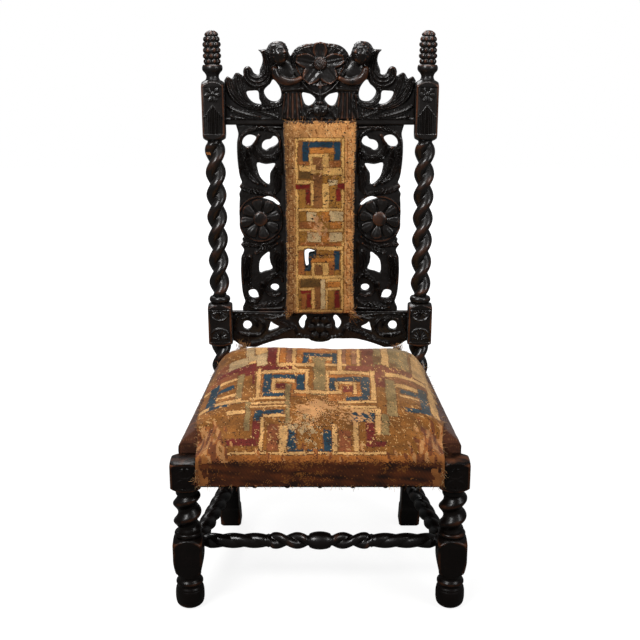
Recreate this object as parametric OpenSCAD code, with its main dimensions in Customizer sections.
// Carved hall chair with barley-twist turnings and a high stuffed, sprung seat.
// Origin on the floor at the centre of the footprint, front towards -Y, +Z up.

/* [Overall] */
// Height of the finial tips above the floor
chair_h = 1100; // [1060:5:1180]
// Distance between the axes of the front legs
front_w = 516; // [490:2:560]
// Distance between the axes of the back posts at seat level
rear_w = 429; // [415:1:450]
// Distance from the front leg axes to the back post axes
seat_d = 340; // [310:2:400]
// Height at which the back posts start to lean
seat_ref = 320; // [310:1:330]
// Backward lean of the back in degrees
recline = 3; // [1:0.5:6]
// Outward lean of each back post in degrees
splay = 0.7; // [0:0.1:1]

/* [Front legs] */
// Square stock of the front legs
front_stock = 57; // [52:1:62]
// Height of the top face of the front leg blocks
block_top = 311; // [304:1:318]
// Height of the front leg's top block
block_h = 60; // [56:1:66]
// Length of the ring and twisted neck under the top block
neck_h = 101; // [95:1:108]
// Height of the foot below the lower block
foot_h = 70; // [62:1:78]
// Rise of the single strand in a full turn of the front legs' twist
neck_pitch = 37; // [32:1:44]
// Largest radius of the front legs' twist
neck_r = 28.5; // [26:0.5:30]
// Radius of the bun foot
bun_r = 28.5; // [25:0.5:31]

/* [Back posts] */
// Square stock of the posts at the seat and of their lower blocks
rear_stock = 50; // [46:1:54]
// Square stock of the posts' upper blocks
upper_stock = 46; // [42:1:48]
// Height of the posts' upper blocks
upper_block_h = 125; // [118:1:132]
// Largest radius of the posts' twist
twist_r = 21.5; // [19:0.5:22.5]
// Smallest radius of the posts' twist
twist_waist = 13; // [11:0.5:15]
// Rise of one strand in a full turn of the posts' twist
twist_pitch = 94; // [80:2:110]
// Height of the finials
finial_h = 100; // [85:1:115]
// Distance that the back feet stand behind the posts at seat level
rear_rake = 22; // [5:1:35]
// Distance that the back feet stand inside the posts at seat level
foot_inset = 10.5; // [0:0.5:16]

/* [Seat frame] */
// Height of the seat rails
rail_h = 43; // [38:1:48]
// Thickness of the seat rails
rail_t = 26; // [22:1:30]
// Thickness of the tenons of rails and boards
tenon_t = 12; // [10:1:14]
// Length of the seat rail tenons
tenon_len = 22; // [16:1:24]
// Clearance round tenons, dowels and screws
joint_gap = 0.2; // [0.1:0.05:0.4]

/* [Stretchers] */
// Height of the side stretchers' axes above the floor
stretcher_z = 103; // [98:1:112]
// Height of the cross stretcher's axis above the side stretchers' axes
cross_lift = 4; // [0:0.5:6]
// Largest radius of the side stretchers
side_str_r = 17.5; // [15:0.5:19]
// Largest radius of the cross stretcher
cross_str_r = 16; // [14:0.5:18]
// Distance of the cross stretcher behind the front leg axes
cross_y = 62; // [55:1:120]

/* [Back boards] */
// Thickness of the crest rail, the carved panels and the lower back rail
board_t = 20; // [18:1:24]
// Depth of the crest rail's lower edge below the tops of the posts
crest_drop = 92; // [84:1:96]
// Height of the lowest edge of the lower back rail above the lean line
lower_v = 108; // [104:1:114]
// Height of the lower back rail
lower_h = 82; // [78:1:86]
// Width of each carved panel
panel_w = 112; // [106:1:116]
// Distance from the posts' axes at seat level to the outer edges of the carved panels
panel_gap = 42.5; // [40:0.5:46]
// Depth of the relief on the boards
relief = 4; // [2:0.5:6]

/* [Back pad] */
// Overlap of the pad on each carved panel at its foot
pad_side0 = 13; // [10:1:16]
// Overlap of the pad on each carved panel at its top
pad_side1 = 18; // [15:1:20]
// Overlap of the pad on the boards above and below it
pad_lap = 9; // [4:1:12]
// Crown of the pad
pad_crown = 13; // [8:1:18]

/* [Seat] */
// Height of the crown above the rim of the seat
seat_dome = 104; // [80:1:115]
// Height of the rim at the front above the seat rails
rim_front = 15; // [10:1:24]
// Height of the rim at the back above the seat rails
rim_rear = 60; // [40:1:70]
// Thickness of the seat and pad covers
cover_t = 2.4; // [1.5:0.1:3.5]
// Air left between cloth and what it lies on
cloth_gap = 0.3; // [0.2:0.05:0.5]

/* [Hidden] */
oak = "#2a1d17";
needlework = "#b98544";
side_cloth = "#6d3a2c";
hessian = "#b49a6c";
hair = "#5b4636";
steel = "#8d9094";
black_cloth = "#1d1c1c";
$fn = 48;
eps = 0.01;

// Places that several pieces share
front_y = 0;
rear_y = front_y + seat_d;
rail_z1 = block_top;
rail_z0 = rail_z1 - rail_h;
front_in = front_w / 2 - front_stock / 2;
rear_in = rear_w / 2 - rear_stock / 2;
front_back = front_y + front_stock / 2;
rear_front = rear_y - rear_stock / 2;
cloth_t = cover_t + cloth_gap;
front_rail_y = front_y - front_stock / 2 + rail_t / 2;
rear_rail_y = rear_y - rear_stock / 2 + 5 + rail_t / 2;
side_x0 = front_w / 2 + front_stock / 2 - 14.5 - rail_t / 2;
side_x1 = rear_w / 2 + rear_stock / 2 - 5.5 - rail_t / 2;
side_len = rear_front - front_back;
side_turn = atan((side_x0 - side_x1) / side_len);
post_top = (chair_h - seat_ref) / cos(recline) - finial_h;
upper_block_v = post_top - upper_block_h;
crest_v = post_top - crest_drop;
panel_out = rear_w / 2 - panel_gap;
panel_in = panel_out - panel_w;
// Finials: a cup with a collar under a pine cone
finial_r = 18.5;
cone_h = finial_h * 0.76;
cup_h = finial_h - cone_h;
collar_r = 20;
collar_h = 5;
// The footprint's box reaches from the seat's front to the finials' collars
front_reach = front_stock / 2 + cloth_t;
rear_reach = seat_d + sin(recline) * (post_top + cup_h - collar_h / 2)
    + cos(recline) * (collar_r + collar_h / 4) + 0.25;
y_shift = (front_reach - rear_reach) / 2;

// Shapes in the middle of the footprint's frame, and in the leaning back's frame
module placed() { translate([0, y_shift, 0]) children(); }
module back_frame() {
    placed() translate([0, rear_y, seat_ref]) rotate([-recline, 0, 0]) children();
}
module sides(s) { mirror([s < 0 ? 1 : 0, 0, 0]) children(); }
function post_x(v) = rear_w / 2 + v * tan(splay);
function lerp(a, b, t) = a + (b - a) * t;

// Smooth curve through hand-placed points, n steps to each span
function knot(p, i) = p[max(0, min(len(p) - 1, i))];
function curve_at(a, b, c, d, t) =
    0.5 * (2 * b + (c - a) * t + (2 * a - 5 * b + 4 * c - d) * t * t
    + (3 * b - a - 3 * c + d) * t * t * t);
function smooth(p, n = 3) = [
    for (i = [0:len(p) - 2], k = [0:n - 1])
        curve_at(knot(p, i - 1), p[i], p[i + 1], knot(p, i + 2), k / n),
    p[len(p) - 1]];
function smooth_loop(p, n = 3) = let (m = len(p)) [
    for (i = [0:m - 1], k = [0:n - 1])
        curve_at(p[(i + m - 1) % m], p[i], p[(i + 1) % m], p[(i + 2) % m], k / n)];
// A right half's points followed by their mirror images
function mirrored(p) = concat(p, [for (i = [len(p) - 1:-1:0]) [-p[i][0], p[i][1]]]);

// Carved band that follows points of the form [across, up, width]
function direction(p, i) = let (a = knot(p, i - 1), b = knot(p, i + 1),
    d = [b[0] - a[0], b[1] - a[1]]) d / norm(d);
function band_edge(p, side) = [for (i = [0:len(p) - 1]) let (d = direction(p, i))
    [p[i][0] - side * d[1] * p[i][2] / 2, p[i][1] + side * d[0] * p[i][2] / 2]];
module band(p, n = 2) {
    q = smooth(p, n);
    left = band_edge(q, 1);
    right = band_edge(q, -1);
    polygon(concat(left, [for (i = [len(right) - 1:-1:0]) right[i]]));
}

// Board cut to the outline of its children, standing in the back's frame
module board(from_y, depth) {
    translate([0, from_y + depth, 0]) rotate([90, 0, 0]) linear_extrude(depth) children();
}
board_front = -board_t * 0.65;
board_back = board_front + board_t;

// Bar turned on a lathe from [radius, height] points
module turned(p) { rotate_extrude() polygon(concat([[0, p[0][1]]], p, [[0, p[len(p) - 1][1]]])); }
function bead(r, h, z, n = 6) = [for (i = [0:n]) let (a = 180 * i / n)
    [r + h / 2 * sin(a) - h / 4, z + h / 2 - h / 2 * cos(a)]];

// Twisted bar: one strand set off its axis, or two strands side by side
function strand_r(a, r, waist, strands) = strands == 2
    ? (r + waist) / 2 + (r - waist) / 2 * cos(2 * a)
    : let (e = (r - waist) / 2, c = (r + waist) / 2)
        e * cos(a) + sqrt(c * c - pow(e * sin(a), 2));
module twisted(length, r, waist, pitch, hand = 1, strands = 2, start = 0, steps = 12, n = 14) {
    turn = 360 * length / pitch;
    rotate([0, 0, start])
        linear_extrude(height = length, twist = -hand * turn, slices = ceil(steps * length / pitch),
            segments = n)
            polygon([for (i = [0:n - 1]) let (a = 360 * i / n)
                strand_r(a, r, waist, strands) * [cos(a), sin(a)]]);
}

// Square block whose ends are turned down to a round neck
module block(stock, h, neck, shoulder) {
    corner = stock * 0.708;
    intersection() {
        translate([-stock / 2, -stock / 2, 0]) cube([stock, stock, h]);
        turned([[neck, 0], [corner, shoulder], [corner, h - shoulder], [neck, h]]);
    }
}

// Tenons and dowels: grow is 0 for the piece itself and the clearance for its mortise
module peg(x, y, z, grow) {
    translate([-grow, -y / 2 - grow, -z / 2 - grow])
        cube([x + grow, y + 2 * grow, z + 2 * grow]);
}
module front_rail_tenon(s, grow) {
    sides(s) translate([front_in - 2, front_rail_y, (rail_z0 + rail_z1) / 2])
        peg(tenon_len + 2, tenon_t, rail_h - 12, grow);
}
module rear_rail_tenon(s, grow) {
    sides(s) translate([rear_in - 2, rear_rail_y, (rail_z0 + rail_z1) / 2])
        peg(tenon_len - 2, tenon_t, rail_h - 12, grow);
}
module side_rail_frame(s) {
    sides(s) translate([side_x0, front_back, (rail_z0 + rail_z1) / 2]) rotate([0, 0, 90 + side_turn])
        children();
}
side_run = side_len / cos(side_turn);
module side_rail_tenons(s, grow) {
    side_rail_frame(s) translate([-tenon_len - grow, -tenon_t / 2 - grow, -rail_h / 2 + 6 - grow])
        cube([side_run + 2 * tenon_len + 2 * grow, tenon_t + 2 * grow, rail_h - 12 + 2 * grow]);
}

// Back legs: straight tapered legs that stand back and in from the seat block
seat_block_z0 = seat_ref - 70;
seat_block_z1 = seat_ref + 30;
foot_w = 46;
ankle_w = 43;
ankle_z = 46;
function leg_at(z) = (seat_block_z0 - z) / seat_block_z0;
function leg_profile(shift) = [
    [shift - foot_w / 2 + 4, 0], [shift + foot_w / 2 - 4, 0], [shift + foot_w / 2, 5],
    [shift * leg_at(ankle_z) + foot_w / 2, ankle_z - 5],
    [shift * leg_at(ankle_z) + ankle_w / 2, ankle_z],
    [rear_stock / 2, seat_block_z0], [rear_stock / 2, seat_block_z1],
    [-rear_stock / 2, seat_block_z1], [-rear_stock / 2, seat_block_z0],
    [shift * leg_at(ankle_z) - ankle_w / 2, ankle_z],
    [shift * leg_at(ankle_z) - foot_w / 2, ankle_z - 5], [shift - foot_w / 2, 5]];
module rear_leg() {
    translate([rear_w / 2, rear_y, 0]) intersection() {
        translate([0, foot_w, 0]) rotate([90, 0, 0])
            linear_extrude(3 * foot_w, center = true) polygon(leg_profile(-foot_inset));
        rotate([90, 0, 90]) linear_extrude(3 * foot_w, center = true)
            polygon(leg_profile(rear_rake));
    }
}
function rear_leg_x(z) = rear_w / 2 - foot_inset * leg_at(z);
function rear_leg_y(z) = rear_y + rear_rake * leg_at(z);

// Back posts above the seat, from the lean line upwards
lower_block_v = 114;
lower_block_h = 96;
ring_v = lower_block_v + lower_block_h;
ring_h = 14;
post_neck_r = 15;
twist_start = 69;
module post_turning() {
    translate([0, 0, 20]) twisted(lower_block_v - 14, twist_r, twist_waist, twist_pitch);
    translate([0, 0, lower_block_v]) block(rear_stock, lower_block_h, post_neck_r + 3, 14);
    translate([0, 0, ring_v - 2]) turned(concat([[16, 0]], bead(17.5, ring_h, 2), [[16, ring_h + 4]]));
    translate([0, 0, ring_v + ring_h])
        twisted(upper_block_v - ring_v - ring_h + 4, twist_r, twist_waist, twist_pitch,
            start = twist_start);
    translate([0, 0, upper_block_v]) block(upper_stock, upper_block_h, post_neck_r, 18);
}
dowel_r = 7;
dowel_len = 30;
module lean(s) { translate([s * rear_w / 2, 0, 0]) rotate([0, s * splay, 0]) children(); }
module rear_post(s) {
    color(oak) placed() difference() {
        union() {
            sides(s) rear_leg();
            translate([0, rear_y, seat_ref]) rotate([-recline, 0, 0]) lean(s) post_turning();
        }
        rear_rail_tenon(s, joint_gap);
        side_rail_tenons(s, joint_gap);
        side_stretcher_core(s, joint_gap);
        translate([0, rear_y, seat_ref]) rotate([-recline, 0, 0]) {
            crest_tenon(s, joint_gap);
            lower_tenon(s, joint_gap);
            lean(s) translate([0, 0, post_top - dowel_len])
                cylinder(r = dowel_r + joint_gap, h = dowel_len + 1);
        }
    }
}

// Finial: a pine cone over a cup and ring, held by a dowel
cone_rows = 7;
scales_round = 9;
function cone_r(t) = finial_r * sqrt(max(0.14, 1 - pow(abs(t - 0.38) / 0.63, 4)));
function cone_point(i, j) = let (rows = 2 * cone_rows, cols = 2 * scales_round, t = j / rows,
    row = floor(j / 2), lift = (j % 2 == 1 ? 1 : 0.84), ridge = ((i + row) % 2 == 0 ? 1 : 0.9),
    r = cone_r(t) * lift * ridge, a = 360 * i / cols)
    [r * cos(a), r * sin(a), cone_h * t];
module pine_cone() {
    rows = 2 * cone_rows;
    cols = 2 * scales_round;
    points = [for (j = [0:rows], i = [0:cols - 1]) cone_point(i, j)];
    faces = concat([[for (i = [cols - 1:-1:0]) i]],
        [for (j = [0:rows - 1], i = [0:cols - 1]) let (k = (i + 1) % cols)
            [j * cols + i, j * cols + k, (j + 1) * cols + i]],
        [for (j = [0:rows - 1], i = [0:cols - 1]) let (k = (i + 1) % cols)
            [j * cols + k, (j + 1) * cols + k, (j + 1) * cols + i]],
        [[for (i = [0:cols - 1]) rows * cols + i]]);
    polyhedron(points, [for (f = faces) [for (q = [len(f) - 1:-1:0]) f[q]]]);
}
module finial(s) {
    color(oak) back_frame() lean(s) translate([0, 0, post_top]) {
        turned(concat([[13, 0], [13, 3]], bead(14.5, 4, 3), [[14, 8], [18, cup_h - 6]],
            bead(collar_r, collar_h, cup_h - 6), [[16, cup_h + 2]]));
        translate([0, 0, cup_h]) pine_cone();
        translate([0, 0, 2 - dowel_len]) cylinder(r = dowel_r, h = dowel_len);
    }
}

// Crest rail: drawn as one half, from the post inwards, in millimetres from its lower edge
crest_half = 200;
crest_rise = 169;
crest_edge = [[200, 90], [194, 99], [188, 97], [183, 95], [177, 105], [171, 107], [164, 103],
    [159, 101], [160, 109], [157, 117], [149, 120], [142, 115], [138, 107], [131, 103], [126, 105],
    [125, 113], [121, 123], [119, 134], [122, 146], [128, 153], [120, 154], [111, 155], [106, 163],
    [98, 169], [88, 170], [78, 168], [71, 160], [66, 150], [61, 141], [57, 148], [50, 156],
    [40, 162], [28, 165], [14, 166], [5, 168], [0, 169]];
crest_holes = [
    [[97, 93], [85, 79], [81, 64], [84, 53], [93, 49], [103, 50], [112, 57], [117, 68], [113, 76],
        [104, 84]],
    [[129, 69], [142, 70], [153, 68], [151, 59], [145, 51], [136, 45], [123, 44], [127, 54]],
    [[37, 66], [27, 65], [18, 62], [10, 54], [13, 47], [22, 40], [31, 43], [36, 55]]];
crest_bands = [
    [[189, 95, 10], [187, 78, 15], [177, 58, 17], [161, 44, 13], [141, 36, 9], [114, 33, 6], [92, 37, 4]],
    [[171, 103, 10], [168, 85, 15], [162, 66, 13], [154, 53, 8], [141, 42, 6], [126, 38, 4]],
    [[150, 112, 14], [150, 100, 19], [142, 91, 23], [130, 88, 25], [118, 92, 23], [110, 102, 18],
        [108, 116, 15], [111, 131, 13], [116, 147, 11]],
    [[122, 77, 5], [126, 66, 8], [123, 54, 10], [114, 44, 10], [101, 40, 11], [88, 42, 10],
        [79, 50, 8], [75, 62, 5]],
    [[94, 113, 12], [90, 101, 14], [79, 92, 14], [65, 88, 13], [51, 90, 10], [41, 95, 8]],
    [[78, 71, 11], [57, 73, 12], [36, 74, 11]],
    [[68, 64, 8], [70, 44, 11], [74, 24, 9]], [[57, 64, 9], [57, 40, 13], [57, 15, 8]],
    [[46, 64, 8], [44, 44, 11], [41, 24, 9]],
    [[57, 145, 7], [53, 128, 10], [46, 112, 10], [37, 98, 7]],
    [[15, 60, 6], [19, 48, 8], [16, 36, 9], [8, 28, 7], [0, 24, 6]]];
flower_v = 125;
petal_r = 15;
head_a = 86;
head_v = 146;
head_r = 22;
function crest_sx() = (post_x(crest_v + 45) - upper_stock / 2) / crest_half;
module crest_end(v0, v1) {
    // the board's end stays parallel to the leaning post
    x0 = post_x(v0) - upper_stock / 2 / cos(splay) - joint_gap;
    x1 = post_x(v1) - upper_stock / 2 / cos(splay) - joint_gap;
    polygon([[0, v0 - 1], [x0, v0 - 1], [x1, v1], [0, v1]]);
}
module crest_half_face() {
    difference() {
        polygon(concat([[-eps, 0], [crest_half + 9, 0], [crest_half + 9, 90]],
            smooth(crest_edge, 3), [[-eps, crest_rise]]));
        for (h = crest_holes) polygon(smooth_loop(h, 2));
    }
}
module both_sides() {
    children();
    mirror([1, 0, 0]) children();
}
tenon_h_crest = 26;
module crest_tenon(s, grow) {
    sides(s) translate([post_x(crest_v) - upper_stock / 2 - 3, (board_front + board_back) / 2,
        crest_v + 19]) peg(tenon_len + 1 + grow, tenon_t - 2, tenon_h_crest, grow);
}
module crest_rail() {
    sx = crest_sx();
    color(oak) back_frame() {
        difference() {
            union() {
                intersection() {
                    board(board_front, board_t) both_sides()
                        crest_end(crest_v, crest_v + crest_rise + 1);
                    translate([0, 0, crest_v]) board(board_front, board_t) both_sides()
                        scale([sx, 1]) crest_half_face();
                }
                // mouldings along the foot of the rail
                translate([0, 0, crest_v]) both_sides() {
                    translate([0, board_front - 2, 10]) cube([crest_half * sx - 4, 3, 4]);
                }
                translate([0, 0, crest_v]) board(board_front - relief, relief + 1) both_sides()
                    scale([sx, 1]) difference() {
                        union() for (b = crest_bands) band(b);
                        for (h = crest_holes) polygon(smooth_loop(h, 2));
                    }
                // the two cherub heads and the flower between them
                translate([0, 0, crest_v]) both_sides() intersection() {
                    translate([head_a * sx, board_front + 7, head_v]) sphere(r = head_r);
                    translate([0, board_front - head_r, 0])
                        cube([crest_half, head_r + board_t, crest_rise + 2]);
                }
                translate([0, 0, crest_v + flower_v]) rotate([90, 0, 0]) {
                    translate([0, 0, -board_front - 1]) for (a = [90:72:378])
                        rotate([0, 0, a]) translate([27, 0, 0]) cylinder(r = petal_r, h = relief + 3);
                    translate([0, 0, -board_front - 3]) sphere(r = 14);
                }
            }
            panel_tongues(1, joint_gap);
            panel_tongues(-1, joint_gap);
        }
        crest_tenon(1, 0);
        crest_tenon(-1, 0);
    }
}

// Lower back rail, drawn as one half from its lowest edge
lower_half = 191.5;
lower_rise = 82;
lower_edge = [[186, 13], [176, 6], [164, 1], [150, 0], [140, 0], [130, 4], [110, 11], [92, 16],
    [76, 19], [50, 19], [27, 19], [20, 15], [10, 12], [0, 11]];
lower_holes = [
    [[168, 50], [165, 57], [159, 59.5], [152, 57], [149, 50], [153, 43], [160, 41], [166, 44]],
    [[107, 57], [102, 53], [90, 46], [100, 41], [112, 38], [110, 47]],
    [[32, 72], [29, 66], [33, 57], [34, 47], [38, 43], [43, 47], [46, 56], [43, 64], [37, 71]]];
lower_bands = [
    [[176, 33, 5], [163, 29, 8], [146, 27, 9], [132, 30, 7], [122, 42, 7], [124, 56, 6], [136, 66, 5]],
    [[170, 64, 4], [155, 68, 6], [140, 61, 7], [137, 48, 6]],
    [[118, 24, 5], [100, 28, 8], [80, 38, 9], [62, 42, 6]],
    [[84, 58, 5], [68, 52, 8], [54, 42, 8], [50, 28, 5]],
    [[150, 10, 7], [130, 15, 8], [105, 22, 6]]];
module lower_face() {
    difference() {
        polygon(concat([[-eps, lower_rise], [lower_half + 9, lower_rise], [lower_half + 9, 15]],
            smooth(lower_edge, 2), [[-eps, 11]]));
        for (h = lower_holes) polygon(smooth_loop(h, 2));
    }
}
tenon_h_lower = 44;
lower_mid = lower_v + 50;
module lower_tenon(s, grow) {
    sides(s) translate([post_x(lower_mid) - rear_stock / 2 - 3, (board_front + board_back) / 2, lower_mid])
        peg(tenon_len + 1 + grow, tenon_t - 2, tenon_h_lower, grow);
}
module lower_back_rail() {
    sx = (post_x(lower_mid) - rear_stock / 2) / lower_half;
    sy = lower_h / lower_rise;
    x0 = post_x(lower_v) - rear_stock / 2 / cos(splay) - joint_gap;
    x1 = post_x(lower_v + lower_h) - rear_stock / 2 / cos(splay) - joint_gap;
    color(oak) back_frame() {
        difference() {
            union() {
                intersection() {
                    board(board_front, board_t) both_sides()
                        polygon([[0, lower_v], [x0, lower_v], [x1, lower_v + lower_h],
                            [0, lower_v + lower_h]]);
                    translate([0, 0, lower_v]) board(board_front, board_t) both_sides()
                        scale([sx, sy]) lower_face();
                }
                translate([0, 0, lower_v]) board(board_front - relief, relief + 1) both_sides()
                    scale([sx, sy]) difference() {
                        union() for (b = lower_bands) band(b);
                        for (h = lower_holes) polygon(smooth_loop(h, 2));
                    }
                translate([0, 0, lower_v + 44 * sy]) rotate([90, 0, 0]) {
                    translate([0, 0, -board_front - 1]) for (a = [0:60:300])
                        rotate([0, 0, a]) translate([15, 0, 0]) cylinder(r = 8.5, h = relief);
                    translate([0, 0, -board_front - 6]) sphere(r = 12);
                }
            }
            panel_tongues(1, joint_gap);
            panel_tongues(-1, joint_gap);
        }
        lower_tenon(1, 0);
        lower_tenon(-1, 0);
    }
}

// Carved side panels, drawn from their foot upwards
panel_v = lower_v + lower_h;
panel_h = crest_v - panel_v;
panel_rise = 399;
panel_reach = 172;
panel_edge = [[168, 0], [168, 8], [163, 20], [165, 28], [168, 40], [170, 60], [171, 85], [170, 116],
    [166, 126], [164, 135], [170, 145], [166, 151], [167, 158], [164, 163], [170, 176], [172, 190],
    [172, 230], [171, 246], [172, 255], [168, 264], [171, 271], [166, 279], [170, 290], [173, 310],
    [175, 335], [175, 362], [172, 379], [174, 390], [177, 399]];
panel_holes = [
    [[134, 373], [142, 378], [152, 378], [161, 371], [164, 361], [158, 355], [147, 356], [140, 363]],
    [[122, 352], [121, 362], [114, 368], [104, 370], [98, 376], [91, 373], [88, 364], [94, 357],
        [106, 352], [114, 347]],
    [[133, 320], [115, 317], [96, 319], [98, 311], [106, 298], [107, 277], [115, 278], [126, 289],
        [131, 302]],
    [[122, 246], [110, 249], [98, 245], [86, 234], [90, 231], [100, 238], [112, 243]],
    [[109, 129], [117, 125], [127, 115], [131, 102], [130, 85], [119, 88], [103, 93], [107, 105],
        [109, 118]],
    [[107, 53], [103, 58], [97, 59], [91, 57], [89, 52], [92, 47], [98, 45], [104, 48]],
    [[155, 42], [150, 46], [140, 46], [134, 36], [134, 30], [146, 29], [153, 34]]];
panel_bands = [
    [[88, 344, 10], [96, 332, 12], [112, 327, 14], [129, 334, 14], [138, 350, 13], [134, 368, 8],
        [128, 378, 5]],
    [[84, 352, 6], [85, 370, 7], [94, 384, 8], [116, 392, 9], [140, 390, 9], [159, 381, 8],
        [168, 366, 8], [167, 340, 10], [160, 312, 13], [148, 290, 10], [132, 276, 6]],
    [[152, 350, 8], [150, 325, 12], [142, 302, 11], [130, 284, 8], [116, 272, 5]],
    [[94, 310, 10], [91, 290, 15], [90, 270, 13], [96, 256, 6]],
    [[170, 272, 10], [150, 262, 12], [126, 258, 10], [104, 253, 7], [88, 240, 4]],
    [[168, 148, 9], [150, 146, 10], [128, 144, 9], [106, 150, 8], [88, 164, 5]],
    [[152, 118, 14], [157, 92, 16], [155, 66, 12], [148, 52, 8]],
    [[138, 128, 8], [124, 136, 10], [106, 140, 8], [92, 148, 5]],
    [[94, 128, 12], [92, 108, 14], [94, 90, 10], [104, 80, 7]],
    [[80, 66, 6], [86, 76, 8], [100, 76, 9], [114, 68, 9], [119, 54, 8], [112, 40, 8], [98, 34, 7],
        [86, 38, 5]],
    [[126, 60, 8], [128, 42, 9], [138, 22, 9], [152, 20, 9], [160, 32, 6]],
    [[150, 8, 7], [120, 14, 9], [92, 18, 8], [78, 26, 5]]];
rosette_a = 127;
rosette_v = 201;
rosette_r = 45;
tongue_t = 7;
tongue_len = 8;
module panel_tongues(s, grow) {
    x0 = panel_in + 6;
    x1 = panel_out - 12;
    sides(s) translate([x0 - grow, (board_front + board_back - tongue_t) / 2 - grow,
        panel_v - tongue_len - grow])
        cube([x1 - x0 + 2 * grow, tongue_t + 2 * grow, panel_h + 2 * tongue_len + 2 * grow]);
}
module carved_panel(s) {
    sx = panel_out / panel_reach;
    sy = (panel_h - 2 * joint_gap) / panel_rise;
    // the relief stays clear of the pad
    carve_from = (panel_in + pad_side1 + 3) / sx;
    color(oak) back_frame() {
        translate([0, 0, panel_v + joint_gap]) {
            board(board_front, board_t) sides(s) scale([sx, sy]) difference() {
                polygon(concat([[panel_in / sx, 0]], smooth(panel_edge, 2), [[panel_in / sx, panel_rise]]));
                for (h = panel_holes) polygon(smooth_loop(h, 2));
            }
            board(board_front - relief, relief + 1) sides(s) scale([sx, sy]) difference() {
                intersection() {
                    union() for (b = panel_bands) band(b);
                    translate([carve_from, 1]) square([panel_reach + 2 - carve_from, panel_rise - 2]);
                }
                for (h = panel_holes) polygon(smooth_loop(h, 2));
            }
            translate([s * rosette_a * sx, board_front + 1, rosette_v * sy]) rotate([90, 0, 0]) {
                for (a = [0:30:330]) rotate([0, 0, a])
                    translate([rosette_r - 13, 0, 0]) cylinder(r = 9.5, h = relief + 1);
                cylinder(r = rosette_r - 14, h = relief);
                translate([0, 0, -4]) sphere(r = 17.5);
            }
        }
        intersection() {
            panel_tongues(s, 0);
            translate([0, 0, panel_v + joint_gap]) board(board_front, board_t) sides(s) {
                translate([panel_in, -tongue_len]) square([panel_out, tongue_len + 1]);
                translate([panel_in, panel_h - 2 * joint_gap - 1]) square([panel_out, tongue_len + 1]);
            }
        }
    }
}

// Closed skin between an outer and an inner grid of points; wrap joins the last column to the first.
// keep(i, k) says which cells belong to the piece.
function skin_faces(cols, rows, wrap, keep) = let (
    at = function (i, k, inner) (inner ? cols * rows : 0) + k * cols + (wrap ? (i + cols) % cols : i),
    spans = wrap ? cols : cols - 1,
    has = function (i, k) k >= 0 && k < rows - 1 && (wrap || (i >= 0 && i < spans))
        && keep[k][wrap ? (i + cols) % cols : i],
    cells = [for (k = [0:rows - 2], i = [0:spans - 1]) if (has(i, k)) [i, k]])
    [for (c = cells, f = let (i = c[0], k = c[1],
        a = at(i, k, false), b = at(i + 1, k, false), d = at(i, k + 1, false), e = at(i + 1, k + 1, false),
        p = at(i, k, true), q = at(i + 1, k, true), u = at(i, k + 1, true), w = at(i + 1, k + 1, true))
        concat([[a, d, b], [b, d, e], [p, q, u], [q, w, u]],
            has(i, k - 1) ? [] : [[a, b, p], [b, q, p]],
            has(i, k + 1) ? [] : [[d, u, e], [e, u, w]],
            has(i - 1, k) ? [] : [[a, p, d], [p, u, d]],
            has(i + 1, k) ? [] : [[b, e, q], [q, e, w]])) f];

// Seat outline seen from above: corners [x, y, rounding], right side from the front to the back
seat_front = front_y - front_stock / 2 - cloth_t;
seat_back = rear_rail_y + rail_t / 2 + cloth_t;
side_out = rail_t / 2 / cos(side_turn) + cloth_t;
seat_mid = [0, (seat_front + seat_back) / 2 + 6];
notch_x = front_in - cloth_gap;
notch_y = front_back + cloth_gap;
seat_corners = [
    [notch_x, seat_front, 4], [notch_x, notch_y, 0.5], [side_x0 + side_out, notch_y, 4],
    [side_x1 + side_out, rear_front - cloth_gap, 4], [rear_in - cloth_gap, rear_front - cloth_gap, 0.5],
    [rear_in - cloth_gap, seat_back, 6]];
plain_corners = [
    [notch_x - 6, seat_front, 14], [notch_x + 14, front_y, 14], [side_x0 + 6, notch_y + 14, 20],
    [side_x1 + 4, rear_front - 26, 16], [rear_in + 12, rear_front - 4, 10],
    [rear_in - 20, seat_back, 30]];
edge_steps = [1, 1, 6, 1, 1, 6];
front_steps = 8;
function loop_corners(c) = concat(c, [for (i = [len(c) - 1:-1:0]) [-c[i][0], c[i][1], c[i][2]]]);
function corner_points(a, v, b, r, n = 2) = let (p = [v[0], v[1]],
    da = [a[0] - v[0], a[1] - v[1]], db = [b[0] - v[0], b[1] - v[1]],
    s = p + da / norm(da) * r, e = p + db / norm(db) * r)
    [for (i = [0:n]) let (t = i / n) (1 - t) * (1 - t) * s + 2 * t * (1 - t) * p + t * t * e];
function rounded_loop(c) = let (m = len(c), arcs = [for (i = [0:m - 1])
    corner_points(c[(i + m - 1) % m], c[i], c[(i + 1) % m], c[i][2])],
    steps = [for (i = [0:m - 1]) i == m - 1 ? front_steps : i < m / 2 ? edge_steps[i]
        : edge_steps[m - 2 - i]])
    [for (i = [0:m - 1]) each concat(arcs[i], [for (j = [1:1:steps[i] - 1])
        lerp(arcs[i][len(arcs[i]) - 1], arcs[(i + 1) % m][0], j / steps[i])])];
seat_loop = rounded_loop(loop_corners(seat_corners));
plain_loop = rounded_loop(loop_corners(plain_corners));
seat_n = len(seat_loop);
seam_s = 0.9;
// Levels of the seat's surface, each a share of the outline: two below the rim, then the rim
// and the rings of the dome
seat_levels = [1, 1, 1, 0.97, seam_s, 0.83, 0.72, 0.56, 0.38, 0.16];
rim_level = 2;
seam_level = 4;
function rim_z(y) = rail_z1 + lerp(rim_front, rim_rear, (y - seat_front) / (seat_back - seat_front));
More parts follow.
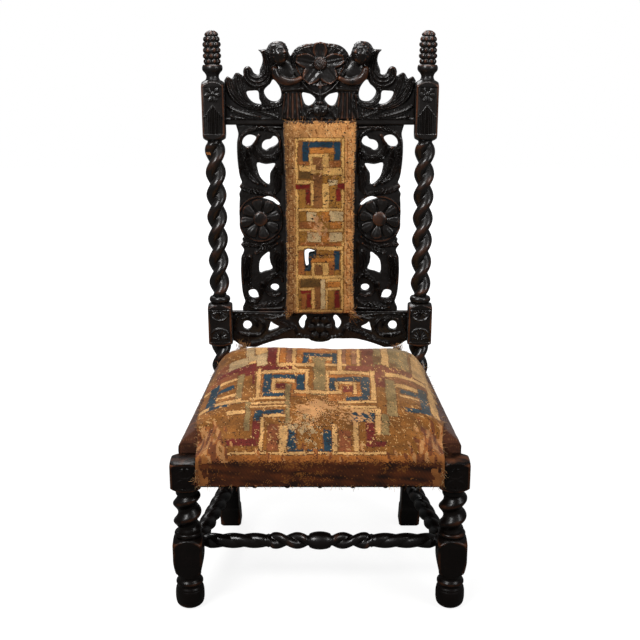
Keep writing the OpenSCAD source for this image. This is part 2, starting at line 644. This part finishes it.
// The crown stands behind the middle: its height grows with the share t of the depth
dome_fore = 0.35;
dome_aft = 0.95;
dome_bias = 1.2;
function dome_z(s, y) = let (t = max(0, (y - seat_front) / (seat_back - seat_front)))
    rim_z(y) + seat_dome * pow(1 - pow(s, 3), 0.9) * (dome_fore + dome_aft * pow(t, dome_bias));
function loop_at(p, i) = let (a = floor(i), t = i - a) lerp(p[a % len(p)], p[(a + 1) % len(p)], t);
// Outward direction at each point of a loop, as long as a mitre of unit depth
function edge_out(p, i) = let (d = p[(i + 1) % len(p)] - p[i]) [d[1], -d[0]] / norm(d);
function mitre(p, i) = let (a = edge_out(p, (i + len(p) - 1) % len(p)), b = edge_out(p, i))
    (a + b) / (1 + a * b);
seat_out = [for (i = [0:seat_n - 1]) mitre(seat_loop, i)];
function seat_xy(i, s) = let (blend = min(1, (1 - s) * 3))
    seat_mid + s * (lerp(loop_at(seat_loop, i), loop_at(plain_loop, i), blend) - seat_mid);
function seat_point(i, k, inset, s) = let (q = seat_xy(i, s), side = max(0, 1 - (1 - s) * 7),
    p = q - loop_at(seat_out, i) * inset * side,
    z = k == 0 ? rail_z0 : k < rim_level ? rail_z1 + 2 * cloth_gap : dome_z(s, q[1]) - inset)
    [p[0], p[1], z];
function seat_grid(inset) = [for (k = [0:len(seat_levels) - 1], i = [0:seat_n - 1])
    seat_point(i, k, inset, seat_levels[k])];

// Columns where the outline's corners lie: three points to a corner, then the steps of the edge
function column_of(corner) = corner == 0 ? 0
    : column_of(corner - 1) + 3 + max(0, (corner - 1 < 6 ? edge_steps[corner - 1]
        : corner - 1 == 11 ? front_steps : edge_steps[10 - (corner - 1)]) - 1);
cols_right = [column_of(0) + 1, column_of(5) + 1];
cols_left = [column_of(6) + 1, column_of(11) + 1];
side_drop_right = [column_of(2) + 2, column_of(3)];
side_drop_left = [column_of(8) + 2, column_of(9)];
function in_side(i) = (i >= cols_right[0] && i < cols_right[1]) || (i >= cols_left[0] && i < cols_left[1]);
function in_drop(i) = i >= column_of(11) + 2 || (i >= column_of(5) + 2 && i < column_of(6));
function fan(first, centre, n, up) = [for (i = [0:n - 1]) let (a = first + i, b = first + (i + 1) % n)
    up ? [a, centre, b] : [a, b, centre]];

module seat_cover() {
    rows = len(seat_levels);
    keep = [for (k = [0:rows - 2]) [for (i = [0:seat_n - 1])
        k >= seam_level || (!in_side(i) && (k > 0 || in_drop(i)))]];
    crown = dome_z(0, seat_mid[1]);
    points = concat(seat_grid(0), seat_grid(cover_t),
        [[seat_mid[0], seat_mid[1], crown], [seat_mid[0], seat_mid[1], crown - cover_t]]);
    last = seat_n * rows;
    // the innermost ring closes on the middle of the crown, so its rim faces are left out
    walls = [for (f = skin_faces(seat_n, rows, true, keep)) if (!joins_rings(f, last)) f];
    faces = concat(walls, fan(last - seat_n, 2 * last, seat_n, true),
        fan(2 * last - seat_n, 2 * last + 1, seat_n, false));
    color(needlework) placed() polyhedron(points, faces);
}
// Whether a face joins the last outer ring to the last inner ring
function joins_rings(f, last) = let (
    outer = [for (v = f) if (v >= last - seat_n && v < last) v],
    inner = [for (v = f) if (v >= 2 * last - seat_n && v < 2 * last) v])
    len(outer) > 0 && len(inner) > 0 && len(outer) + len(inner) == 3;

module seat_side_cover(s) {
    nip = 0.06;
    ends = s > 0 ? cols_right : cols_left;
    drop = s > 0 ? side_drop_right : side_drop_left;
    cols = [ends[0] + nip, for (i = [ends[0] + 1:ends[1] - 1]) i, ends[1] - nip];
    rows = seam_level + 1;
    keep = [for (k = [0:rows - 2]) [for (i = [0:len(cols) - 2])
        k > 0 || (cols[i] >= drop[0] && cols[i + 1] <= drop[1])]];
    grid = function (inset) [for (k = [0:seam_level], i = cols)
        seat_point(i, k, inset, k == seam_level ? seam_s + 0.002 : seat_levels[k])];
    color(side_cloth) placed()
        polyhedron(concat(grid(0), grid(cover_t)), skin_faces(len(cols), rows, false, keep));
}

// Closed solid over a pile of rings with a point in the middle of the first and of the last
module ring_solid(rings, z0, z1) {
    m = len(rings);
    n = len(rings[0]);
    points = concat([for (r = rings) each r],
        [[seat_mid[0], seat_mid[1], z0], [seat_mid[0], seat_mid[1], z1]]);
    faces = concat(
        [for (k = [0:m - 2], i = [0:n - 1]) let (j = (i + 1) % n)
            [k * n + i, (k + 1) * n + i, k * n + j]],
        [for (k = [0:m - 2], i = [0:n - 1]) let (j = (i + 1) % n)
            [k * n + j, (k + 1) * n + i, (k + 1) * n + j]],
        fan(0, m * n, n, false), fan((m - 1) * n, m * n + 1, n, true));
    polyhedron(points, faces);
}

// Stuffing under the covers, hollow where the springs stand, and the hessian over the springs
hessian_t = 1.2;
spring_top = rail_z1 + 38;
mouth_s = 0.84;
plateau_s = 0.6;
flange_s = 0.92;
slack_s = 0.012;
hessian_z = rail_z1 + cloth_gap;
function scaled_ring(s, z) = [for (q = seat_loop) let (p = seat_mid + (q - seat_mid) * s) [p[0], p[1], z]];
module seat_stuffing() {
    z0 = hessian_z + hessian_t + cloth_gap;
    z1 = spring_top + hessian_t + cloth_gap;
    foot = [for (i = [0:seat_n - 1]) let (p = seat_loop[i] - seat_out[i] * cloth_t) [p[0], p[1], z0]];
    rings = concat([scaled_ring(plateau_s, z1), scaled_ring(mouth_s, z0), foot],
        [for (k = [rim_level:len(seat_levels) - 1]) [for (i = [0:seat_n - 1])
            seat_point(i, k, cloth_t, seat_levels[k])]]);
    color(hair) placed() ring_solid(rings, z1, dome_z(0, seat_mid[1]) - cloth_t);
}
module spring_hessian() {
    rings = [scaled_ring(plateau_s - slack_s, spring_top), scaled_ring(mouth_s - slack_s, hessian_z),
        scaled_ring(flange_s, hessian_z), scaled_ring(flange_s, hessian_z + hessian_t),
        scaled_ring(mouth_s - slack_s, hessian_z + hessian_t),
        scaled_ring(plateau_s - slack_s, spring_top + hessian_t)];
    color(hessian) placed() ring_solid(rings, spring_top, spring_top + hessian_t);
}

// Springs: waisted coils of wire that stand on the webbing under the hessian
web_t = 1.6;
spring_wire = 1.8;
spring_r = 32;
spring_turns = 4;
spring_rings = 8;
web_reach = rear_in * 0.634;
spring_x = web_reach * 0.65;
spring_y = [lerp(front_back, rear_front, 0.243), lerp(front_back, rear_front, 0.62)];
module spring(z0, z1) {
    n = spring_turns * spring_rings;
    sides_n = 5;
    rise = z1 - z0 - 2 * spring_wire;
    path = [for (i = [0:n]) let (t = i / n, a = 360 * spring_turns * t,
        r = spring_r - 8 * sin(180 * t)) [r * cos(a), r * sin(a), z0 + spring_wire + rise * t]];
    points = [for (i = [0:n]) let (a = 360 * spring_turns * i / n, o = [cos(a), sin(a), 0])
        for (k = [0:sides_n - 1]) path[i]
            + spring_wire * cos(360 * k / sides_n) * o + [0, 0, spring_wire * sin(360 * k / sides_n)]];
    faces = concat([[for (k = [0:sides_n - 1]) k]],
        [for (i = [0:n - 1], k = [0:sides_n - 1]) let (j = (k + 1) % sides_n)
            [i * sides_n + k, (i + 1) * sides_n + k, i * sides_n + j]],
        [for (i = [0:n - 1], k = [0:sides_n - 1]) let (j = (k + 1) % sides_n)
            [i * sides_n + j, (i + 1) * sides_n + k, (i + 1) * sides_n + j]],
        [[for (k = [sides_n - 1:-1:0]) n * sides_n + k]]);
    polyhedron(points, faces);
}
module seat_springs() {
    color(steel) placed() for (x = [spring_x, -spring_x], y = spring_y)
        translate([x, y, 0]) spring(rail_z0 - cloth_gap + 0.1, spring_top - cloth_gap);
}

// Webbing, dust cover and tacks under the rails
web_w = 48;
function rail_mid_x(y) = lerp(side_x0, side_x1, (y - front_back) / side_len);
module webbing() {
    color(hessian) placed() {
        for (t = [-1, -1 / 3, 1 / 3, 1]) translate([t * web_reach - web_w / 2, front_rail_y,
            rail_z0 - cloth_gap - web_t])
            cube([web_w, rear_rail_y - front_rail_y, web_t]);
        for (t = [0.25, 0.5, 0.75]) let (y = lerp(front_back, rear_front, t), x = rail_mid_x(y + web_w / 2))
            translate([-x, y - web_w / 2, rail_z0 - 2 * cloth_gap - 2 * web_t]) cube([2 * x, web_w, web_t]);
    }
}
dust_z1 = rail_z0 - 3 * cloth_gap - 2 * web_t;
dust_t = 1;
dust_in = 4;
tack_margin = 42;
module tack_places() {
    for (t = [-1:1 / 3:1.01]) translate([t * (front_in - tack_margin), front_rail_y - 6, 0]) children();
    for (t = [-1:0.4:1.01]) translate([t * (rear_in - tack_margin), rear_rail_y + 6, 0]) children();
    for (s = [-1, 1], t = [0.12, 0.32, 0.5, 0.68, 0.88]) let (y = lerp(front_back, rear_front, t))
        translate([s * (rail_mid_x(y) + 5), y, 0]) children();
}
tack_r = 1;
tack_head = 4;
module dust_cover() {
    x0 = rail_mid_x(front_back) + rail_t / 2 - dust_in;
    x1 = rail_mid_x(rear_front) + rail_t / 2 - dust_in;
    y0 = front_rail_y - rail_t / 2 + dust_in;
    y1 = rear_rail_y + rail_t / 2 - dust_in;
    color(black_cloth) placed() translate([0, 0, dust_z1 - dust_t]) difference() {
        linear_extrude(dust_t) polygon(mirrored([[front_in - 1, y0], [front_in - 1, front_back + 1],
            [x0, front_back + 1], [x1, rear_front - 1], [rear_in - 1, rear_front - 1], [rear_in - 1, y1]]));
        tack_places() translate([0, 0, -1]) cylinder(r = tack_r + joint_gap, h = dust_t + 2, $fn = 16);
    }
}
tack_len = 14;
module dust_cover_tacks() {
    color(steel) placed() tack_places() {
        translate([0, 0, dust_z1 - dust_t - 1.2]) cylinder(r = tack_head, h = 1.2 - 0.05, $fn = 24);
        translate([0, 0, dust_z1 - dust_t - 0.5]) cylinder(r = tack_r, h = tack_len, $fn = 16);
    }
}
module tack_holes() {
    tack_places() translate([0, 0, rail_z0 - 1])
        cylinder(r = tack_r + joint_gap, h = tack_len - 2, $fn = 16);
}

// Seat rails
module front_rail() {
    color(oak) placed() difference() {
        union() {
            translate([-front_in + joint_gap, front_rail_y - rail_t / 2, rail_z0])
                cube([2 * front_in - 2 * joint_gap, rail_t, rail_h]);
            front_rail_tenon(1, 0);
            front_rail_tenon(-1, 0);
        }
        tack_holes();
        screw_paths(joint_gap);
    }
}
module rear_rail() {
    color(oak) placed() difference() {
        union() {
            translate([-rear_in + joint_gap, rear_rail_y - rail_t / 2, rail_z0])
                cube([2 * rear_in - 2 * joint_gap, rail_t, rail_h]);
            rear_rail_tenon(1, 0);
            rear_rail_tenon(-1, 0);
        }
        tack_holes();
        screw_paths(joint_gap);
    }
}
module side_rail(s) {
    color(oak) placed() difference() {
        union() {
            intersection() {
                side_rail_frame(s) translate([-tenon_len, -rail_t / 2, -rail_h / 2])
                    cube([side_run + 2 * tenon_len, rail_t, rail_h]);
                translate([-front_w, front_back + joint_gap, 0])
                    cube([2 * front_w, side_len - 2 * joint_gap, chair_h]);
            }
            side_rail_tenons(s, 0);
        }
        tack_holes();
        screw_paths(joint_gap);
    }
}

// Corner blocks and their screws
block_leg = 46;
screw_r = 2.2;
screw_len = 34;
screw_in = 22;
corner_z = rail_h - 10;
rail_in_y0 = front_rail_y + rail_t / 2;
rail_in_y1 = rear_rail_y - rail_t / 2;
function rail_in_x(y) = rail_mid_x(y) - rail_t / 2 / cos(side_turn);
module corner_block_shape(rear) {
    y0 = rear ? rail_in_y1 - joint_gap : rail_in_y0 + joint_gap;
    dir = rear ? -1 : 1;
    y1 = y0 + dir * (block_leg + (rear ? 6 : front_back - rail_in_y0));
    xa = rail_in_x(y0) - joint_gap;
    xb = rail_in_x(y1) - joint_gap;
    notch = rear ? rear_in : front_in;
    step = rear ? rear_front : front_back;
    polygon([[notch - block_leg, y0], [notch - joint_gap, y0], [notch - joint_gap, step + dir * joint_gap],
        [rail_in_x(step) - joint_gap, step + dir * joint_gap], [xb, y1], [xb - 10, y1]]);
}
module corner_at(rear) {
    both_sides() translate([0, 0, rail_z0 + 6]) linear_extrude(corner_z) corner_block_shape(rear);
}
module screw_paths(grow) {
    z = (rail_z0 + rail_z1) / 2;
    both_sides() {
        translate([front_in - screw_in, rail_in_y0 + 12, z]) rotate([90, 0, 0]) screw_shape(grow);
        translate([rear_in - screw_in, rail_in_y1 - 12, z]) rotate([-90, 0, 0]) screw_shape(grow);
        for (y = [front_back + screw_in, rear_front - screw_in])
            translate([rail_in_x(y) - 12, y, z]) rotate([0, 90, 0]) screw_shape(grow);
    }
}
module screw_shape(grow) {
    cylinder(r = screw_r + grow, h = screw_len - 4 + grow, $fn = 16);
    translate([0, 0, -2.5 - 60 * grow]) cylinder(r = 4 + grow, h = 2.5 + 60 * grow, $fn = 24);
}
module corner_blocks() {
    color(oak) placed() difference() {
        union() {
            corner_at(false);
            corner_at(true);
        }
        screw_paths(joint_gap);
    }
}
module corner_block_screws() { color(steel) placed() screw_paths(0); }

// Front legs
lower_top = block_top - block_h - neck_h;
lower_taper = 3.5;
function taper_profile(h) = let (r = front_stock / 2, n = 6) concat(
    [[-r, h], [-r, h * 0.45]],
    [for (i = [1:n]) let (t = i / n) [-r + lower_taper * 1.7 * pow(t, 1.6), h * 0.45 * (1 - t)]],
    [for (i = [n:-1:1]) let (t = i / n) [r - lower_taper * 1.7 * pow(t, 1.6), h * 0.45 * (1 - t)]],
    [[r, h * 0.45], [r, h]]);
module front_leg(s) {
    top_dome = 3;
    lower_h_leg = lower_top - foot_h;
    twist_len = neck_h - 16;
    color(oak) placed() difference() {
        translate([s * front_w / 2, front_y, 0]) {
            turned(concat([[bun_r - 11, 0], [bun_r - 6, 4], [bun_r - 1.5, 12], [bun_r, 24],
                [bun_r - 1, 35], [bun_r - 4, 45], [bun_r - 6.5, 50]], bead(bun_r - 6, 9, 52),
                [[bun_r - 6.5, foot_h - 7], [bun_r - 5, foot_h + 1]]));
            translate([0, 0, foot_h]) intersection() {
                rotate([90, 0, 0]) linear_extrude(front_stock + 2, center = true)
                    polygon(taper_profile(lower_h_leg));
                rotate([90, 0, 90]) linear_extrude(front_stock + 2, center = true)
                    polygon(taper_profile(lower_h_leg));
                turned([[bun_r - 5, -1], [front_stock * 0.72, 14], [front_stock * 0.72, lower_h_leg - 9],
                    [25, lower_h_leg + 1]]);
            }
            translate([0, 0, lower_top - 2])
                turned(concat([[22, 0]], bead(22, 12, 3), [[neck_r - 8, 18]]));
            // the twist runs out on cones inside the ring below and the neck above
            translate([0, 0, lower_top + 10]) intersection() {
                twisted(twist_len, neck_r, neck_r - 8.5, neck_pitch, 1, 1, s < 0 ? -40 : 20, 13, 16);
                turned([[neck_r - 15, 0], [neck_r + 2, 9], [neck_r + 2, twist_len - 9],
                    [neck_r - 15, twist_len]]);
            }
            translate([0, 0, block_top - block_h - 11])
                turned([[neck_r - 9, 0], [neck_r - 7, 3], [neck_r - 6, 12]]);
            translate([0, 0, block_top - block_h]) intersection() {
                translate([-front_stock / 2, -front_stock / 2, 0])
                    cube([front_stock, front_stock, block_h + top_dome]);
                turned([[neck_r - 7, 0], [front_stock * 0.708, 12], [front_stock * 0.708, block_h - 4],
                    [front_stock / 2, block_h + 0.5], [14, block_h + top_dome]]);
            }
        }
        front_rail_tenon(s, joint_gap);
        side_rail_tenons(s, joint_gap);
        side_stretcher_core(s, joint_gap);
    }
}

// Side stretchers run from the lower blocks of the front legs to the back legs
str_tenon_r = 9;
str_tenon_len = 20;
str_x0 = front_w / 2 - 3;
str_y0 = front_back;
str_x1 = rear_leg_x(stretcher_z);
str_y1 = rear_leg_y(stretcher_z) - (foot_w + rear_stock) / 4 + 0.5;
str_turn = atan((str_x0 - str_x1) / (str_y1 - str_y0));
str_len = (str_y1 - str_y0) / cos(str_turn);
module side_stretcher_frame(s) {
    sides(s) translate([str_x0, str_y0, stretcher_z]) rotate([-90, 0, 0]) rotate([0, -str_turn, 0])
        children();
}
module side_stretcher_core(s, grow) {
    side_stretcher_frame(s) translate([0, 0, -str_tenon_len - grow])
        cylinder(r = str_tenon_r + grow, h = str_len + 2 * str_tenon_len + 2 * grow);
}
str_end = 34;
side_pitch = 88;
module side_stretcher(s) {
    color(oak) placed() difference() {
        union() {
            side_stretcher_core(s, 0);
            intersection() {
                side_stretcher_frame(s) union() {
                    translate([0, 0, -12]) turned([[13, 0], [side_str_r - 1.5, 12], [side_str_r, str_end],
                        [side_str_r - 3.5, str_end + 12]]);
                    translate([0, 0, str_end - 2])
                        twisted(str_len - 2 * str_end + 4, side_str_r, side_str_r - 4.5, side_pitch,
                            s < 0 ? 1 : -1, 2, 0, 11, 12);
                    translate([0, 0, str_len - str_end]) turned([[side_str_r - 3.5, 0], [side_str_r, 12],
                        [side_str_r - 1.5, str_end], [13, str_end + 12]]);
                }
                // shoulders cut square to the legs' faces
                translate([0, str_y0 + joint_gap, 0]) translate([-front_w, 0, 0])
                    cube([2 * front_w, str_y1 - str_y0 - joint_gap - 0.2, 2 * stretcher_z]);
            }
        }
        rear_leg_face();
        cross_core(joint_gap);
    }
}
// the back leg's front face leans, so the shoulder is cut to the same slope
module rear_leg_face() {
    slope = atan((rear_rake * leg_at(ankle_z) + (rear_stock - ankle_w) / 2) / (seat_block_z0 - ankle_z));
    translate([0, rear_y - rear_stock / 2 - joint_gap, seat_block_z0]) rotate([slope, 0, 0])
        translate([-front_w, 0, -seat_block_z0 + ankle_z - 20])
            cube([2 * front_w, 60, seat_block_z0 - ankle_z + 40]);
}

// Cross stretcher: a turned bulb between two twisted arms whose strands mirror each other
function str_x_at(y) = lerp(str_x0, str_x1, (y - str_y0) / (str_y1 - str_y0));
cross_half = str_x_at(cross_y) - side_str_r + 2;
bulb_half = 24;
arm_split = 104;
cross_pitch = 86;
cross_tenon_r = 7;
cross_z = stretcher_z + cross_lift;
module cross_core(grow) {
    translate([-cross_half - 12 - grow, cross_y, cross_z]) rotate([0, 90, 0])
        cylinder(r = cross_tenon_r + grow, h = 2 * (cross_half + 12) + 2 * grow);
}
module cross_arm() {
    deep = arm_split - bulb_half + 8;
    translate([0, 0, bulb_half - 6])
        twisted(deep, cross_str_r, cross_str_r - 5.5, cross_pitch, -1, 2, 90, 12, 12);
    translate([0, 0, arm_split])
        twisted(cross_half - arm_split - 10, cross_str_r, cross_str_r - 3, cross_pitch, -1, 2, 0, 9, 12);
    translate([0, 0, arm_split - 3])
        turned([[cross_str_r - 5, 0], [cross_str_r - 2.5, 3], [cross_str_r - 5, 6]]);
    translate([0, 0, cross_half - 16])
        turned([[cross_str_r - 4, 0], [cross_str_r - 1, 8], [cross_tenon_r + 2, 20]]);
}
module cross_stretcher() {
    color(oak) placed() {
        difference() {
            translate([0, cross_y, cross_z]) {
                rotate([0, 90, 0]) cross_arm();
                mirror([1, 0, 0]) rotate([0, 90, 0]) cross_arm();
                rotate([0, 90, 0]) turned(concat([[9, -bulb_half - 2]],
                    [for (i = [0:12]) let (a = 180 * i / 12)
                        [cross_str_r - 6 + 7 * pow(sin(a), 0.8), -bulb_half * cos(a)]],
                    [[9, bulb_half + 2]]));
            }
            for (s = [-1, 1]) side_stretcher_frame(s)
                cylinder(r = side_str_r + joint_gap, h = str_len);
        }
        cross_core(0);
    }
}

// Back pad: hessian, stuffing and needlework over the gap between the carved panels
pad_v0 = panel_v - pad_lap / 3;
pad_v1 = crest_v + pad_lap;
pad_cols = 10;
pad_rows = 18;
pad_y = board_front - cloth_gap;
function pad_half(v) = panel_in + lerp(pad_side0, pad_side1, (v - pad_v0) / (pad_v1 - pad_v0));
function spread(i, n) = let (t = 2 * i / n - 1) sign(t) * (1 - pow(1 - abs(t), 1.45));
function pad_point(i, j, back, inner) = let (u = spread(i, pad_cols), w = spread(j, pad_rows),
    edge = (i == 0 || i == pad_cols || j == 0 || j == pad_rows),
    v = lerp(pad_v0, pad_v1, (w + 1) / 2),
    rise = pad_crown * pow(1 - pow(abs(u), 2.6), 0.6) * pow(1 - pow(abs(w), 8), 0.6),
    front = pad_y - cloth_t - hessian_t - rise)
    [u * pad_half(v), inner && edge ? pad_y : front + back, v];
function pad_grid(back, inner) = [for (j = [0:pad_rows], i = [0:pad_cols])
    pad_point(i, j, back, inner)];
module back_pad_cover() {
    cols = pad_cols + 1;
    rows = pad_rows + 1;
    keep = [for (k = [0:rows - 2]) [for (i = [0:cols - 2]) true]];
    color(needlework) back_frame() difference() {
        polyhedron(concat(pad_grid(0, false), pad_grid(cover_t, true)),
            [for (f = skin_faces(cols, rows, false, keep)) [f[0], f[2], f[1]]]);
        worn_hole();
    }
}
module back_pad_stuffing() {
    cols = pad_cols - 1;
    rows = pad_rows - 1;
    keep = [for (k = [0:rows - 2]) [for (i = [0:cols - 2]) true]];
    front = [for (j = [1:pad_rows - 1], i = [1:pad_cols - 1]) pad_point(i, j, cloth_t, false)];
    back = [for (p = front) [p[0], pad_y - hessian_t - cloth_gap, p[2]]];
    color(hair) back_frame() difference() {
        polyhedron(concat(front, back), [for (f = skin_faces(cols, rows, false, keep)) [f[0], f[2], f[1]]]);
        worn_hole();
    }
}
module pad_sheet(y, t, inset) {
    board(y, t) difference() {
        polygon([[-pad_half(pad_v0) + inset, pad_v0 + inset], [pad_half(pad_v0) - inset, pad_v0 + inset],
            [pad_half(pad_v1) - inset, pad_v1 - inset], [-pad_half(pad_v1) + inset, pad_v1 - inset]]);
    }
}
module back_pad_hessian() {
    color(hessian) back_frame() difference() {
        pad_sheet(pad_y - hessian_t, hessian_t, 8);
        worn_hole();
    }
}
module back_outer_cloth() {
    color(black_cloth) back_frame() difference() {
        pad_sheet(board_back + cloth_gap, hessian_t, 4);
        worn_hole();
    }
}
// Place where the needlework has rotted through
hole_v = panel_v + 101;
module worn_hole() {
    board(board_front - 40, 80) polygon([[-31, hole_v], [-24, hole_v + 2], [-24.5, hole_v + 26],
        [-11, hole_v + 30], [-11, hole_v + 37], [-33, hole_v + 37]]);
}

rear_post(-1);  // rear_post_left
rear_post(1);  // rear_post_right
finial(-1);  // finial_left
finial(1);  // finial_right
crest_rail();
carved_panel(-1);  // carved_panel_left
carved_panel(1);  // carved_panel_right
lower_back_rail();
back_pad_hessian();
back_pad_stuffing();
back_pad_cover();
back_outer_cloth();
front_leg(-1);  // front_leg_left
front_leg(1);  // front_leg_right
front_rail();
rear_rail();
side_rail(-1);  // side_rail_left
side_rail(1);  // side_rail_right
side_stretcher(-1);  // side_stretcher_left
side_stretcher(1);  // side_stretcher_right
cross_stretcher();
corner_blocks();
corner_block_screws();
webbing();
seat_springs();
spring_hessian();
seat_stuffing();
seat_cover();
seat_side_cover(-1);  // seat_side_cover_left
seat_side_cover(1);  // seat_side_cover_right
dust_cover();
dust_cover_tacks();
